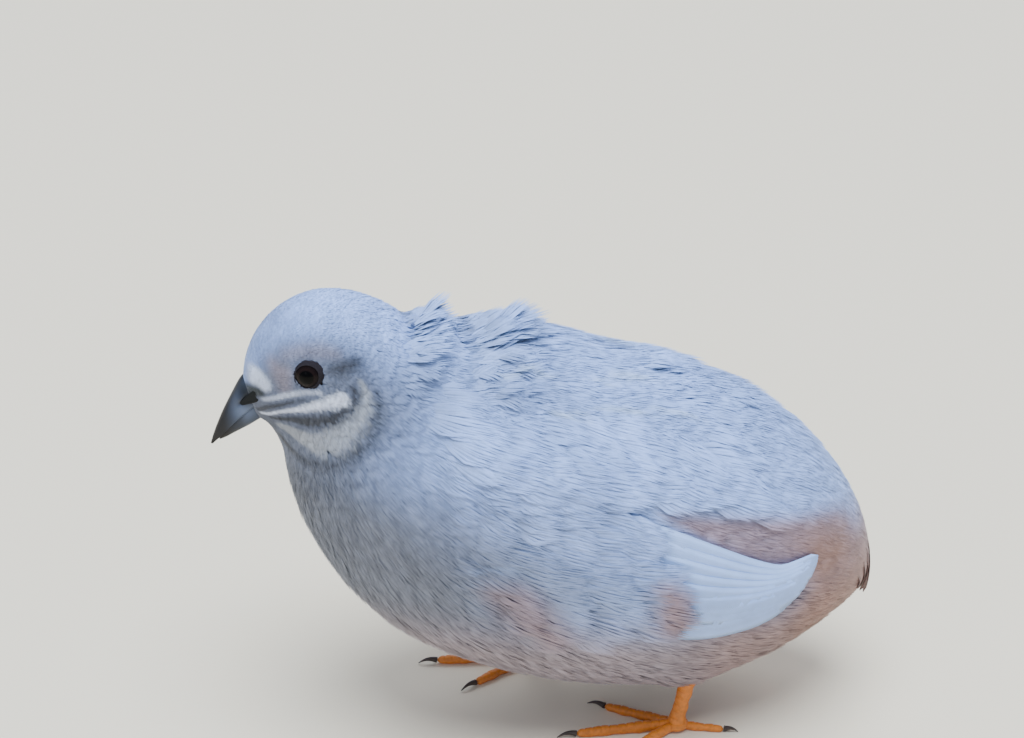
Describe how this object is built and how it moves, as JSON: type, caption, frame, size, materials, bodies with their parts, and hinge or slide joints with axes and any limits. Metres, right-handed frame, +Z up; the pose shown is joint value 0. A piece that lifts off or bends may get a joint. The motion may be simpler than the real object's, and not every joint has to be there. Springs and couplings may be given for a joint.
{
  "type": "button quail",
  "caption": "Life-size still button quail, silver blue cock with a white and dark throat bib, crouched on both feet with folded wings and a short drooping tail.",
  "frame": {"origin": "on the floor, below the middle of the bird's bounding box", "axes": "+Z up, -X the way the bird faces, -Y its left side"},
  "size_m": [0.1032, 0.0528, 0.0736],
  "materials": {
    "feather_silver_blue": "soft matt body and wing feathers",
    "feather_mauve": "soft matt tail and thigh feathers",
    "bill_horn": "dark horn with a dull shine",
    "leg_orange": "scaly orange skin",
    "claw_horn": "brown horn",
    "eye_dark": "wet dark eye"
  },
  "bodies": {
    "root": {"head": "feather_silver_blue", "neck": "feather_silver_blue", "torso": "feather_silver_blue", "wing_left": "feather_silver_blue", "wing_right": "feather_silver_blue", "tail": "feather_mauve", "thigh_left": "feather_mauve", "thigh_right": "feather_mauve", "bill_upper": "bill_horn", "bill_lower": "bill_horn", "eye_left": "eye_dark", "shank_left": "leg_orange", "foot_left": "leg_orange", "claw_left_inner": "claw_horn", "claw_left_middle": "claw_horn", "claw_left_outer": "claw_horn", "claw_left_hind": "claw_horn", "eye_right": "eye_dark", "shank_right": "leg_orange", "foot_right": "leg_orange", "claw_right_inner": "claw_horn", "claw_right_middle": "claw_horn", "claw_right_outer": "claw_horn", "claw_right_hind": "claw_horn"}
  },
  "joints": []
}
